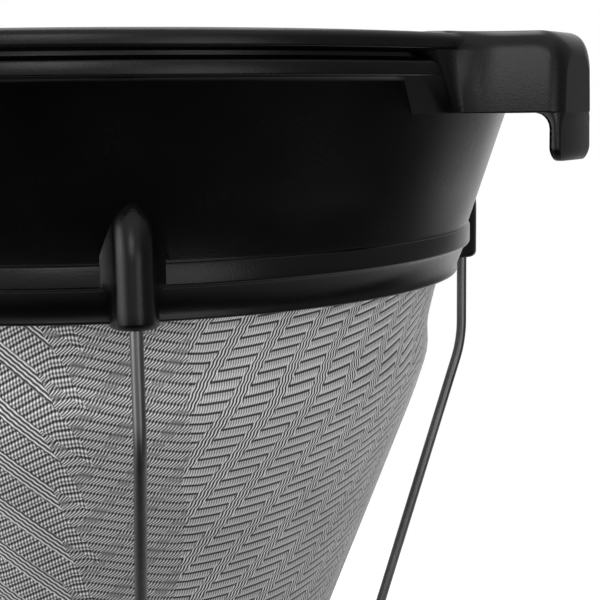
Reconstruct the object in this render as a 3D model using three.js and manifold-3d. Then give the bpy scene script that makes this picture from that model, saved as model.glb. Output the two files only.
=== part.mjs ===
import * as THREE from "three";
import { mergeVertices } from "three/addons/utils/BufferGeometryUtils.js";
import Module from "manifold-3d";

// Conical kitchen strainer: one moulded black frame (collar, pan hook and long handle),
// a woven steel mesh cone and two bent guard wires that cross below its tip.
// Millimetres, +Z up. Heights below are measured from the top of the rim, down is negative.
// The origin is the middle of the flat underside of the pan hook.

// collar
const rimRadius = 103;
const crownWidth = 4.6;
const lipHeight = 3;
const lipRound = 1.5;
const grooveDepth = 2.4;
const grooveHeight = 1.7;
const rimBandHeight = 2.9;
const rimBandInset = 1.5;
const rimEdgeRound = 1;
const wallInset = 7.5;
const wallTaper = 10.6;
const collarWall = 3.2;
const collarDepth = 50.2;
const beadRise = 11;
const beadHeight = 4.4;
const beadProud = 0.5;
const beadRound = 0.5;
const skirtStep = 1.2;
const skirtRound = 3;
const innerLipWall = 2.4;
const innerLipRise = 1.2;
const ledgeRise = 12.4;
const ledgeDrop = 2.6;
const collarSegments = 72;

// mesh cone
const meshInset = 5.5;
const meshWall = 1;
const meshTuck = 9;
const meshTopStep = 1.2;
const meshNeckInset = 3.8;
const meshNeckDepth = 12;
const meshSwell = 0.5;
const meshSwellDepth = 18;
const meshShoulderInset = 6.6;
const meshShoulderDepth = 28;
const meshTipRadius = 9;
const meshDepth = 250;
const meshRidge = 0.35;
const meshPlainTop = 2;
const meshSpokes = 48;
const meshRings = 18;
const meshTipRings = 3;
const meshGapRows = 5;
const meshGapsInRow = 24;
const meshGapShare = 0.6;

// guard wires
const wireDiameter = 2.4;
const wireStandOff = 3.3;
const wireDrop = 21.3;
const wireBendRadius = 32;
const wireSlope = 0.319;
const guardRoom = 7;
const wireSides = 8;
const wireSteps = 72;

// bosses that hold the wires
const bossRadius = 3.6;
const bossStraight = 12.2;
const bossArch = 15.6;
const bossFootRound = 1.4;
const bossFootWidth = 11.4;
const wireSeatHeight = 16.4;

// pan hook
const hookLength = 14;
const hookEndWidth = 15.6;
const hookFlank = 0.52;
const hookTop = 0.4;
const hookHeight = 14.8;
const hookEdgeRadius = 3.6;
const hookEndRadius = 5;
const hookCornerRadius = 2.3;
const hookRootFillet = 5;
const hookLegThickness = 2.6;
const hookLegDrop = 8.8;
const hookLegRound = 1;
const hookLegCorner = 2.6;
const hookLegStep = 0.4;
const hookLegStepDrop = 1.6;
const hookInnerFillet = 3;

// handle
const handleLength = 187;
const handleWidth = 24;
const handleEndWidth = 30;
const handleRootWidth = 40;
const handleRootLength = 22;
const handleNeckLength = 80;
const handleEdgeRadius = 4;
const hangHoleLength = 22;
const hangHoleWidth = 10;
const hangHoleFromEnd = 22;

// fit
const clearance = 0.3;
const overlap = 1;

const blackPlastic = new THREE.MeshStandardMaterial({ color: 0x121212, roughness: 0.45, metalness: 0 });
const wireSteel = new THREE.MeshStandardMaterial({ color: 0x6e6e70, roughness: 0.35, metalness: 1 });
const meshSteel = new THREE.MeshStandardMaterial({ color: 0x8c8c8e, roughness: 0.4, metalness: 1 });

const wasm = await Module();
wasm.setup();

function toSolid(geometry) {
  const bare = geometry.index ? geometry.clone() : geometry;
  bare.deleteAttribute("normal");
  bare.deleteAttribute("uv");
  const merged = mergeVertices(bare, 1e-4);
  return new wasm.Manifold(new wasm.Mesh({
    numProp: 3,
    vertProperties: new Float32Array(merged.attributes.position.array),
    triVerts: new Uint32Array(merged.index.array),
  }));
}

function toGeometry(solid) {
  const mesh = solid.getMesh();
  const geometry = new THREE.BufferGeometry();
  geometry.setAttribute("position", new THREE.BufferAttribute(new Float32Array(mesh.vertProperties), 3));
  geometry.setIndex(new THREE.BufferAttribute(new Uint32Array(mesh.triVerts), 1));
  geometry.computeVertexNormals();
  return geometry;
}

// A ring or disc turned about +Z from [radius, height] points.
function turned(points, segments) {
  const profile = points.map(([radius, height]) => new THREE.Vector2(radius, height));
  return new THREE.LatheGeometry(profile, segments).rotateX(Math.PI / 2);
}

function polygon(points) {
  return new THREE.Shape(points.map(([x, y]) => new THREE.Vector2(x, y)));
}

// Points of a round corner, from one angle to another in degrees.
function arc(centreX, centreY, radius, fromAngle, toAngle, steps = 5) {
  const points = [];
  for (let step = 0; step <= steps; step++) {
    const angle = THREE.MathUtils.degToRad(fromAngle + ((toAngle - fromAngle) * step) / steps);
    points.push([centreX + radius * Math.cos(angle), centreY + radius * Math.sin(angle)]);
  }
  return points;
}

// An outline in X (out from the axis) and Y, standing from one height to another.
function standing(points, bottom, top) {
  const geometry = new THREE.ExtrudeGeometry(polygon(points), { depth: top - bottom, bevelEnabled: false });
  return toSolid(geometry.translate(0, 0, bottom));
}

// An outline in X and Z, centred on Y.
function lyingAcross(points, width) {
  const geometry = new THREE.ExtrudeGeometry(polygon(points), { depth: width, bevelEnabled: false });
  return toSolid(geometry.translate(0, 0, -width / 2).rotateX(Math.PI / 2));
}

// An outline in Y and Z, running out along X.
function lyingAlong(points, fromX, toX) {
  const geometry = new THREE.ExtrudeGeometry(polygon(points), { depth: toX - fromX, bevelEnabled: false });
  return toSolid(geometry.rotateX(Math.PI / 2).rotateZ(Math.PI / 2).translate(fromX, 0, 0));
}

const rimBandTop = -lipHeight - grooveHeight;
const rimBandBottom = rimBandTop - rimBandHeight;
const rimBandRadius = rimRadius - rimBandInset;
const collarTopRadius = rimRadius - wallInset;
const collarWaistRadius = collarTopRadius - wallTaper;
const beadTop = -collarDepth + beadRise;
const beadBottom = beadTop - beadHeight;
const beadRadius = collarWaistRadius + beadProud;
const skirtRadius = beadRadius - skirtStep;
const ledgeTop = -collarDepth + ledgeRise;
const wallSlope = wallTaper / (rimBandBottom - beadTop);
const meshTopRadius = collarWaistRadius - meshInset;
const meshSeatTop = -collarDepth + meshTuck;
const meshOuterSeat = meshTopRadius + clearance;
const meshInnerSeat = meshTopRadius - meshWall - clearance;
const collarLipRadius = meshInnerSeat - innerLipWall;
const wireCircleRadius = collarWaistRadius + wireStandOff;
const wireBendDepth = collarDepth + wireDrop;
const guardDepth = meshDepth + guardRoom;
const wireTop = -collarDepth + wireSeatHeight;
const hookReach = rimRadius + hookLength;
const hookSeat = hookTop - hookHeight;
const hookLegBottom = hookSeat - hookLegDrop;
const handleReach = rimRadius + handleLength;

function collarRadiusAt(height) {
  return collarTopRadius - wallSlope * (rimBandBottom - height);
}

// The collar's outside, from the rim's crown down to the bottom edge.
function collarOuterProfile() {
  const grooveRadius = rimRadius - grooveDepth;
  const bandEdge = rimBandRadius - rimEdgeRound;
  const beadEdge = beadRadius - beadRound;
  return [
    [rimRadius - crownWidth, 0],
    ...arc(rimRadius - lipRound, -lipRound, lipRound, 90, 0, 3),
    ...arc(rimRadius - rimEdgeRound, -lipHeight + rimEdgeRound, rimEdgeRound, 0, -90, 2),
    [grooveRadius, -lipHeight],
    [grooveRadius, rimBandTop],
    ...arc(bandEdge, rimBandTop - rimEdgeRound, rimEdgeRound, 90, 0, 2),
    ...arc(bandEdge, rimBandBottom + rimEdgeRound, rimEdgeRound, 0, -90, 2),
    [collarTopRadius + rimEdgeRound, rimBandBottom],
    [collarRadiusAt(rimBandBottom - rimEdgeRound), rimBandBottom - rimEdgeRound],
    [collarRadiusAt(beadTop + beadRound), beadTop + beadRound],
    ...arc(beadEdge, beadTop - beadRound, beadRound, 90, 0, 2),
    ...arc(beadEdge, beadBottom + beadRound, beadRound, 0, -90, 2),
    [skirtRadius, beadBottom],
    ...arc(skirtRadius - skirtRound, -collarDepth + skirtRound, skirtRound, 0, -90, 3),
  ];
}

// The slot in the collar's bottom edge that the mesh stands in.
function meshSeatProfile() {
  return [
    [meshOuterSeat, -collarDepth],
    [meshOuterSeat, meshSeatTop + clearance],
    [meshInnerSeat, meshSeatTop + clearance],
    [meshInnerSeat, -collarDepth + innerLipRise],
  ];
}

// The inside of the bowl, from its bottom lip up to the rim's crown.
function bowlWallProfile() {
  return [
    [collarLipRadius, -collarDepth + innerLipRise],
    [collarLipRadius, ledgeTop - ledgeDrop],
    [collarRadiusAt(ledgeTop) - collarWall, ledgeTop],
    [collarRadiusAt(rimBandBottom) - collarWall, rimBandBottom],
    [collarTopRadius - collarWall / 2, -lipHeight],
    [rimRadius - crownWidth - rimEdgeRound, -rimEdgeRound],
  ];
}

function makeCollar() {
  const profile = [...collarOuterProfile(), ...meshSeatProfile(), ...bowlWallProfile()];
  profile.push(profile[0]);
  return toSolid(turned(profile.reverse(), collarSegments));
}

// The hollow of the bowl, cut from whatever is joined to the collar.
function makeBowlHollow() {
  const wall = bowlWallProfile();
  const [topRadius] = wall[wall.length - 1];
  const above = hookTop + overlap;
  const below = -collarDepth - overlap;
  return toSolid(turned([
    [0, below],
    [collarLipRadius, below],
    ...wall,
    [topRadius, above],
    [0, above],
  ], collarSegments));
}

// One boss on the collar: a round-nosed rib whose front curves back into the wall at its top.
function makeBoss(angle) {
  const reach = wireCircleRadius + bossRadius;
  const shoulder = -collarDepth + bossStraight;
  const foot = beadRadius - collarWall / 2;
  const footHalf = bossFootWidth / 2;
  const plan = standing([
    [foot, -footHalf],
    [beadRadius, -footHalf],
    ...arc(wireCircleRadius, 0, bossRadius, -80, 80, 6),
    [beadRadius, footHalf],
    [foot, footHalf],
  ], -collarDepth, shoulder + bossArch);
  const front = lyingAcross([
    [foot, -collarDepth],
    ...arc(reach - bossFootRound, -collarDepth + bossFootRound, bossFootRound, -90, 0, 2),
    ...arc(reach - bossArch, shoulder, bossArch, 0, 60, 6),
    [foot, shoulder + bossArch],
  ], bossFootWidth + overlap);
  return plan.intersect(front).rotate([0, 0, THREE.MathUtils.radToDeg(angle)]);
}

function makeWireHole(angle) {
  const radius = wireDiameter / 2 + clearance;
  const profile = [
    [0, -collarDepth - overlap],
    [radius, -collarDepth - overlap],
    [radius, wireTop + clearance],
    [0, wireTop + clearance],
  ];
  const hole = toSolid(turned(profile, 16).translate(wireCircleRadius, 0, 0));
  return hole.rotate([0, 0, THREE.MathUtils.radToDeg(angle)]);
}

// The hook's outline seen from above, half of it, from inside the collar to its outer end.
function hookOutline(inside) {
  const endHalf = hookEndWidth / 2;
  const flank = Math.atan(hookFlank);
  const rootX = collarRadiusAt(hookSeat) - clearance;
  const rootHalf = endHalf + hookFlank * (hookReach - rootX);
  const filletX = rootX + hookRootFillet * Math.sin(flank);
  const filletY = rootHalf + hookRootFillet * Math.cos(flank);
  const flankAngle = THREE.MathUtils.radToDeg(flank);
  const fillet = arc(filletX, filletY, hookRootFillet, 195, 270 - flankAngle, 4);
  const cornerX = hookReach - hookCornerRadius;
  const cornerY = endHalf + hookFlank * hookCornerRadius - hookCornerRadius / Math.cos(flank);
  return [
    [inside, fillet[0][1]],
    ...fillet,
    ...arc(cornerX, cornerY, hookCornerRadius, 90 - flankAngle, 0, 4),
  ];
}

// A long slab that ends at the hook's flank on one side, with its upper edge rounded.
function makeFlank(side) {
  const far = hookReach;
  const section = [
    [0, hookSeat - overlap],
    ...arc(-hookEdgeRadius, hookTop - hookEdgeRadius, hookEdgeRadius, 0, 90),
    [-far, hookTop],
    [-far, hookSeat - overlap],
  ].map(([across, height]) => [side * across, height]);
  const slab = lyingAlong(side > 0 ? section : section.reverse(), -far, far);
  const turn = THREE.MathUtils.radToDeg(Math.atan(hookFlank));
  return slab.rotate([0, 0, -side * turn]).translate([hookReach, (side * hookEndWidth) / 2, 0]);
}

function makeHook() {
  const inside = collarWaistRadius - overlap;
  const legInside = hookReach - hookLegThickness;
  const legOutside = hookReach - hookLegStep;
  const legHalf = hookEndWidth / 2;
  const half = hookOutline(inside);
  const other = half.map(([x, y]) => [x, -y]);
  const plan = standing([...other, ...half.reverse()], hookSeat, hookTop + overlap);
  const side = lyingAcross([
    [inside, hookSeat],
    [hookReach, hookSeat],
    ...arc(hookReach - hookEndRadius, hookTop - hookEndRadius, hookEndRadius, 0, 90),
    [inside, hookTop],
  ], hookReach);
  const arm = plan.intersect(side).intersect(makeFlank(1)).intersect(makeFlank(-1));
  const legSide = lyingAcross([
    [legInside - hookInnerFillet, hookSeat + overlap],
    ...arc(legInside - hookInnerFillet, hookSeat - hookInnerFillet, hookInnerFillet, 90, 0, 4),
    ...arc(legInside + hookLegRound, hookLegBottom + hookLegRound, hookLegRound, 180, 270, 3),
    ...arc(legOutside - hookLegRound, hookLegBottom + hookLegRound, hookLegRound, 270, 360, 3),
    [legOutside, hookSeat - hookLegStepDrop],
    [hookReach, hookSeat + overlap],
  ], hookEndWidth);
  const legFront = lyingAlong([
    ...arc(-legHalf + hookLegCorner, hookLegBottom + hookLegCorner, hookLegCorner, 180, 270, 4),
    ...arc(legHalf - hookLegCorner, hookLegBottom + hookLegCorner, hookLegCorner, 270, 360, 4),
    [legHalf, hookSeat + overlap],
    [-legHalf, hookSeat + overlap],
  ], legInside - hookInnerFillet - overlap, hookReach + overlap);
  return arm.add(legSide.intersect(legFront));
}

// The handle's outline seen from above, half of it, from the collar to its round end.
function handleOutline() {
  const half = handleWidth / 2;
  const endHalf = handleEndWidth / 2;
  const rootX = collarWaistRadius - overlap;
  const curve = new THREE.SplineCurve([
    new THREE.Vector2(rootX, handleRootWidth / 2),
    new THREE.Vector2(rimRadius, (handleRootWidth / 2 + half) / 2),
    new THREE.Vector2(rimRadius + handleRootLength, half),
    new THREE.Vector2(rimRadius + handleNeckLength, half),
    new THREE.Vector2(handleReach - endHalf, endHalf),
  ]);
  const side = curve.getPoints(16)
    .filter((point, place) => place === 0 || point.x > rootX + handleEdgeRadius + overlap)
    .map((point) => [point.x, point.y]);
  const end = arc(handleReach - endHalf, 0, endHalf, 90, 0, 6);
  const upper = [...side.slice(0, -1), ...end];
  const lower = [...upper].reverse().slice(1).map(([x, y]) => [x, -y]);
  return [...upper, ...lower];
}

function makeHandle() {
  const outline = handleOutline();
  const inset = handleEdgeRadius;
  const thickness = hookTop - hookSeat;
  const bar = new THREE.ExtrudeGeometry(polygon(outline), {
    depth: thickness - 2 * inset,
    bevelEnabled: true,
    bevelThickness: inset,
    bevelSize: inset,
    bevelOffset: -inset,
    bevelSegments: 3,
  }).translate(0, 0, hookSeat + inset);
  const holeCentre = handleReach - hangHoleFromEnd;
  const straight = (hangHoleLength - hangHoleWidth) / 2;
  const hole = standing([
    ...arc(holeCentre + straight, 0, hangHoleWidth / 2, -90, 90, 7),
    ...arc(holeCentre - straight, 0, hangHoleWidth / 2, 90, 270, 7),
  ], hookSeat - overlap, hookTop + overlap);
  return toSolid(bar).subtract(hole).rotate([0, 0, 180]);
}

const wireAngles = [45, 135, 225, 315].map((angle) => THREE.MathUtils.degToRad(angle));

function makeFrame() {
  let joined = makeHook().add(makeHandle());
  for (const angle of wireAngles) {
    joined = joined.add(makeBoss(angle));
  }
  let frame = makeCollar().add(joined.subtract(makeBowlHollow()));
  for (const angle of wireAngles) {
    frame = frame.subtract(makeWireHole(angle));
  }
  return frame;
}

// Outer radius of the mesh at a depth below the rim.
function meshRadiusAt(depth) {
  const below = depth - collarDepth;
  const neckRadius = meshTopRadius - meshNeckInset;
  const shoulderRadius = meshTopRadius - meshShoulderInset;
  const knots = [
    [0, meshTopRadius],
    [meshTopStep, meshTopRadius - meshTopStep],
    [meshNeckDepth, neckRadius],
    [meshSwellDepth, neckRadius + meshSwell],
    [meshShoulderDepth, shoulderRadius],
  ];
  if (below <= 0) {
    return meshTopRadius;
  }
  for (let knot = 1; knot < knots.length; knot++) {
    const [fromDepth, fromRadius] = knots[knot - 1];
    const [toDepth, toRadius] = knots[knot];
    if (below <= toDepth) {
      return fromRadius + ((toRadius - fromRadius) * (below - fromDepth)) / (toDepth - fromDepth);
    }
  }
  const shoulder = collarDepth + meshShoulderDepth;
  const share = (depth - shoulder) / (meshDepth - meshTipRadius - shoulder);
  return shoulderRadius + (meshTipRadius - shoulderRadius) * Math.min(share, 1);
}

// One closed wall: rings of points outside and inside, with ridges where alternate points stand
// proud and with small gaps right through between them, up to the round tip.
function makeMeshBasket() {
  const emerge = collarDepth + meshPlainTop;
  const straightDepths = [-meshSeatTop, collarDepth, emerge];
  const coneEnd = meshDepth - meshTipRadius;
  const coneDepths = [];
  for (let ring = 1; ring <= meshRings; ring++) {
    coneDepths.push(emerge + ((coneEnd - emerge) * ring) / meshRings);
  }
  const depths = [...straightDepths, ...coneDepths];
  const outer = depths.map((depth) => [meshRadiusAt(depth), -depth]);
  for (let ring = 1; ring < meshTipRings; ring++) {
    const angle = (Math.PI / 2) * (ring / meshTipRings);
    outer.push([meshTipRadius * Math.cos(angle), -coneEnd - meshTipRadius * Math.sin(angle)]);
  }
  const positions = [];
  const triangles = [];
  const ridgeFrom = straightDepths.length;
  const ridgeTo = depths.length - 2;
  const layer = (offset, ridged) => {
    const first = positions.length / 3;
    outer.forEach(([radius, height], ring) => {
      for (let spoke = 0; spoke < meshSpokes; spoke++) {
        const angle = (2 * Math.PI * spoke) / meshSpokes;
        const low = ridged && ring >= ridgeFrom && ring <= ridgeTo && (ring + spoke) % 2 === 0;
        const reach = radius - offset - (low ? meshRidge : 0);
        positions.push(reach * Math.cos(angle), reach * Math.sin(angle), height);
      }
    });
    const tip = positions.length / 3;
    positions.push(0, 0, -meshDepth + offset);
    return { first, tip };
  };
  const outside = layer(0, true);
  const inside = layer(meshWall, false);
  const at = (side, ring, spoke) => side.first + ring * meshSpokes + (spoke % meshSpokes);
  const quad = (a, b, c, d) => triangles.push(a, b, c, a, c, d);
  const rowStep = Math.floor(meshRings / (meshGapRows + 1));
  const gapStep = Math.round(meshSpokes / meshGapsInRow);
  const isGapRow = (ring) => {
    const row = (ring - straightDepths.length) / rowStep;
    return Number.isInteger(row) && row >= 1 && row <= meshGapRows;
  };
  const lerp = (from, to, share) => from + (to - from) * share;
  const gapPoint = (side, ring, spoke, shareAlong, shareAcross) => {
    const corner = [0, 1, 2].map((axis) => {
      const a = positions[at(side, ring, spoke) * 3 + axis];
      const b = positions[at(side, ring, spoke + 1) * 3 + axis];
      const c = positions[at(side, ring + 1, spoke + 1) * 3 + axis];
      const d = positions[at(side, ring + 1, spoke) * 3 + axis];
      return lerp(lerp(a, b, shareAcross), lerp(d, c, shareAcross), shareAlong);
    });
    positions.push(...corner);
    return positions.length / 3 - 1;
  };
  const near = (1 - meshGapShare) / 2;
  const far = 1 - near;
  for (let ring = 0; ring < outer.length - 1; ring++) {
    for (let spoke = 0; spoke < meshSpokes; spoke++) {
      const o = [at(outside, ring, spoke), at(outside, ring + 1, spoke),
        at(outside, ring + 1, spoke + 1), at(outside, ring, spoke + 1)];
      const i = [at(inside, ring, spoke), at(inside, ring + 1, spoke),
        at(inside, ring + 1, spoke + 1), at(inside, ring, spoke + 1)];
      if (!isGapRow(ring) || spoke % gapStep !== 0) {
        quad(o[0], o[1], o[2], o[3]);
        quad(i[3], i[2], i[1], i[0]);
        continue;
      }
      const shares = [[near, near], [far, near], [far, far], [near, far]];
      const go = shares.map(([along, across]) => gapPoint(outside, ring, spoke, along, across));
      const gi = shares.map(([along, across]) => gapPoint(inside, ring, spoke, along, across));
      for (let edge = 0; edge < 4; edge++) {
        const next = (edge + 1) % 4;
        quad(o[edge], o[next], go[next], go[edge]);
        quad(i[next], i[edge], gi[edge], gi[next]);
        quad(go[edge], go[next], gi[next], gi[edge]);
      }
    }
  }
  for (let spoke = 0; spoke < meshSpokes; spoke++) {
    const last = outer.length - 1;
    triangles.push(at(outside, last, spoke), outside.tip, at(outside, last, spoke + 1));
    triangles.push(at(inside, last, spoke + 1), inside.tip, at(inside, last, spoke));
    quad(at(outside, 0, spoke), at(outside, 0, spoke + 1), at(inside, 0, spoke + 1), at(inside, 0, spoke));
  }
  const geometry = new THREE.BufferGeometry();
  geometry.setAttribute("position", new THREE.Float32BufferAttribute(positions, 3));
  geometry.setIndex(triangles);
  geometry.computeVertexNormals();
  return geometry;
}

// Centre line of one guard wire: down one side, round below the mesh tip and up the other side.
function guardPath(bottom) {
  const slant = Math.atan(wireSlope);
  const bendStart = wireBendDepth - wireBendRadius * Math.tan(slant / 2);
  const bend = arc(0, 0, wireBendRadius, 0, THREE.MathUtils.radToDeg(slant));
  const half = [
    [wireCircleRadius, wireTop],
    [wireCircleRadius, -collarDepth],
    ...bend.map(([across, down]) => [wireCircleRadius - wireBendRadius + across, -bendStart - down]),
  ];
  const [legRadius, legHeight] = half[half.length - 1];
  const reach = legRadius - wireSlope * (bottom + legHeight);
  const turnRadius = (reach * Math.cos(slant)) / (1 - wireSlope * Math.cos(slant));
  const turn = arc(0, 0, turnRadius, THREE.MathUtils.radToDeg(slant), 90, 9);
  const [turnStart] = turn;
  const legSteps = 6;
  for (let step = 1; step < legSteps; step++) {
    const share = step / legSteps;
    half.push([
      THREE.MathUtils.lerp(legRadius, turnStart[0], share),
      THREE.MathUtils.lerp(legHeight, turnRadius - bottom - turnStart[1], share),
    ]);
  }
  half.push(...turn.map(([across, down]) => [across, turnRadius - bottom - down]));
  half[half.length - 1][0] = 0;
  const other = [...half].reverse().slice(1).map(([x, z]) => [-x, z]);
  return new THREE.CatmullRomCurve3([...half, ...other].map(([x, z]) => new THREE.Vector3(x, 0, z)));
}

// A round bar swept along its centre line.
function makeGuardWire(bottom) {
  const section = [];
  for (let side = 0; side < wireSides; side++) {
    const angle = (2 * Math.PI * side) / wireSides;
    section.push([(wireDiameter / 2) * Math.cos(angle), (wireDiameter / 2) * Math.sin(angle)]);
  }
  return new THREE.ExtrudeGeometry(polygon(section), {
    steps: wireSteps,
    extrudePath: guardPath(bottom),
    bevelEnabled: false,
  });
}

function addPiece(group, name, geometry, material, turn = 0) {
  const mesh = new THREE.Mesh(geometry, material);
  mesh.name = name;
  mesh.rotation.z = turn;
  group.add(mesh);
}

const seatMiddle = (collarRadiusAt(hookSeat) + hookReach - hookLegThickness) / 2;

const bowl = new THREE.Group();
bowl.position.set(-seatMiddle, 0, -hookSeat);
addPiece(bowl, "frame", toGeometry(makeFrame()), blackPlastic);
addPiece(bowl, "mesh_basket", makeMeshBasket(), meshSteel);
const upperDepth = guardDepth - wireDiameter - clearance;
addPiece(bowl, "guard_wire_upper", makeGuardWire(upperDepth), wireSteel, wireAngles[0]);
addPiece(bowl, "guard_wire_lower", makeGuardWire(guardDepth), wireSteel, wireAngles[1]);

const strainer = new THREE.Group();
strainer.add(bowl);

export default strainer;
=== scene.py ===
import bpy
import bmesh
import bisect
import math
from mathutils import Matrix, Vector


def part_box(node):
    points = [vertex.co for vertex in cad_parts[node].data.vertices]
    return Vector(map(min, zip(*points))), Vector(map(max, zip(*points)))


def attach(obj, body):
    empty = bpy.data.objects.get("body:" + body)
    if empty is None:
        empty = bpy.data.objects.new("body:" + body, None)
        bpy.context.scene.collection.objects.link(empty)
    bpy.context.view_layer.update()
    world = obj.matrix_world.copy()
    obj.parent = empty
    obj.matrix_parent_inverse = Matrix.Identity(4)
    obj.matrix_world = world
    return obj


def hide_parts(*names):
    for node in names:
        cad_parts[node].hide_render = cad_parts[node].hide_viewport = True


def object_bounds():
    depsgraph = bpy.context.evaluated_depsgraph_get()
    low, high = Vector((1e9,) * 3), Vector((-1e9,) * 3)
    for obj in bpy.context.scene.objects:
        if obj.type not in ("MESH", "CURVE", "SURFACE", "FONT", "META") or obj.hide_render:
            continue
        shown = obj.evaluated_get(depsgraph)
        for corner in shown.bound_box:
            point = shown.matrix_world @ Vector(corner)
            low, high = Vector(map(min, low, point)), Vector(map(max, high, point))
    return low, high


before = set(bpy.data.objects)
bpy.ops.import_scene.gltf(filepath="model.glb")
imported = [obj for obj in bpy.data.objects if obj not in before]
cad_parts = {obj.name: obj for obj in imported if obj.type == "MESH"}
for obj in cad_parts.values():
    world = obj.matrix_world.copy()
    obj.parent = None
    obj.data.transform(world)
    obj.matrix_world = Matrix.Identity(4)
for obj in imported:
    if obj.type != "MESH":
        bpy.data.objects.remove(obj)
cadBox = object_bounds()
print("frame loaded, solids:", len(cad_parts))

mm = 0.001
basketLow, basketHigh = (Vector(corner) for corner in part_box("mesh_basket"))
axisX = (basketLow.x + basketHigh.x) / 2            # the bowl's axis stands here
seatDrop = 14.4                                     # rim top above the hook's seat, mm
rimZ = seatDrop * mm


def place(radius, angle, height):
    # a point from its distance and angle round the bowl's axis and its height over the rim, in mm
    return Vector((axisX + radius * math.cos(angle) * mm, radius * math.sin(angle) * mm, rimZ + height * mm))


# meshes

def meshFrom(name, points, faces):
    mesh = bpy.data.meshes.new(name)
    mesh.from_pydata([tuple(point) for point in points], [], faces)
    mesh.validate()
    return mesh


def objectFrom(mesh, name):
    piece = bpy.data.objects.new(name, mesh)
    bpy.context.scene.collection.objects.link(piece)
    return piece


def turnOutwards(mesh):
    shell = bmesh.new()
    shell.from_mesh(mesh)
    bmesh.ops.remove_doubles(shell, verts=shell.verts, dist=1e-6)
    bmesh.ops.recalc_face_normals(shell, faces=shell.faces)
    shell.to_mesh(mesh)
    shell.free()


def lathe(name, profile, segments):
    # a closed [radius, height] loop turned about the bowl's axis
    points = []
    for step in range(segments):
        angle = 2 * math.pi * step / segments
        points += [place(radius, angle, height) for radius, height in profile]
    count = len(profile)
    faces = []
    for step in range(segments):
        here, there = step * count, (step + 1) % segments * count
        for spot in range(count):
            after = (spot + 1) % count
            faces.append((here + spot, here + after, there + after, there + spot))
    mesh = meshFrom(name, points, faces)
    turnOutwards(mesh)
    return objectFrom(mesh, name)


def loft(name, rings):
    # closed rings of points joined one after another, with a flat cap at each end
    count = len(rings[0])
    points = [point for ring in rings for point in ring]
    faces = [tuple(range(count))[::-1], tuple(range(len(points) - count, len(points)))]
    for ring in range(len(rings) - 1):
        for spot in range(count):
            after = (spot + 1) % count
            low, high = ring * count, (ring + 1) * count
            faces.append((low + spot, low + after, high + after, high + spot))
    mesh = meshFrom(name, points, faces)
    turnOutwards(mesh)
    return objectFrom(mesh, name)


def arc(centreX, centreY, radius, fromAngle, toAngle, steps):
    spots = []
    for step in range(steps + 1):
        angle = math.radians(fromAngle + (toAngle - fromAngle) * step / steps)
        spots.append((centreX + radius * math.cos(angle), centreY + radius * math.sin(angle)))
    return spots


def roundedBox(halfWidth, low, high, radii, steps=6):
    # the outline of a bar seen end on; radii for bottom right, top right, top left, bottom left
    limit = min(halfWidth, (high - low) / 2) * 0.98
    r = [min(radius, limit) for radius in radii]
    return (arc(halfWidth - r[0], low + r[0], r[0], -90, 0, steps)
            + arc(halfWidth - r[1], high - r[1], r[1], 0, 90, steps)
            + arc(-halfWidth + r[2], high - r[2], r[2], 90, 180, steps)
            + arc(-halfWidth + r[3], low + r[3], r[3], 180, 270, steps))


def combine(piece, tool, operation):
    cut = piece.modifiers.new("cut", "BOOLEAN")
    cut.operation = operation
    cut.solver = "MANIFOLD"
    cut.object = tool
    freeze(piece)
    bpy.data.objects.remove(tool)
    return piece


def freeze(piece):
    # apply what the modifiers make, and drop them
    graph = bpy.context.evaluated_depsgraph_get()
    mesh = bpy.data.meshes.new_from_object(piece.evaluated_get(graph))
    mesh.name = piece.name
    piece.modifiers.clear()
    piece.data = mesh
    return piece


def smooth(piece, degrees):
    piece.data.shade_smooth()
    piece.data.set_sharp_from_angle(angle=math.radians(degrees))


def easeBetween(low, high, share):
    share = min(max(share, 0), 1)
    return low + (high - low) * share * share * (3 - 2 * share)


# shader nodes

class Expr:
    # a socket that adds Math nodes when it is used in a sum
    def __init__(self, tree, socket):
        self.tree = tree
        self.socket = socket

    def make(self, operation, other=None, swap=False):
        node = self.tree.nodes.new("ShaderNodeMath")
        node.operation = operation
        for entry, value in enumerate((other, self) if swap else (self, other)):
            if isinstance(value, Expr):
                self.tree.links.new(value.socket, node.inputs[entry])
            elif value is not None:
                node.inputs[entry].default_value = value
        return Expr(self.tree, node.outputs[0])

    def __add__(self, other): return self.make("ADD", other)
    def __radd__(self, other): return self.make("ADD", other)
    def __sub__(self, other): return self.make("SUBTRACT", other)
    def __rsub__(self, other): return self.make("SUBTRACT", other, True)
    def __mul__(self, other): return self.make("MULTIPLY", other)
    def __rmul__(self, other): return self.make("MULTIPLY", other)
    def __truediv__(self, other): return self.make("DIVIDE", other)
    def __gt__(self, other): return self.make("GREATER_THAN", other)
    def __lt__(self, other): return self.make("LESS_THAN", other)
    def fract(self): return self.make("FRACT")
    def sine(self): return self.make("SINE")
    def cosine(self): return self.make("COSINE")
    def most(self, other): return self.make("MAXIMUM", other)


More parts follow.
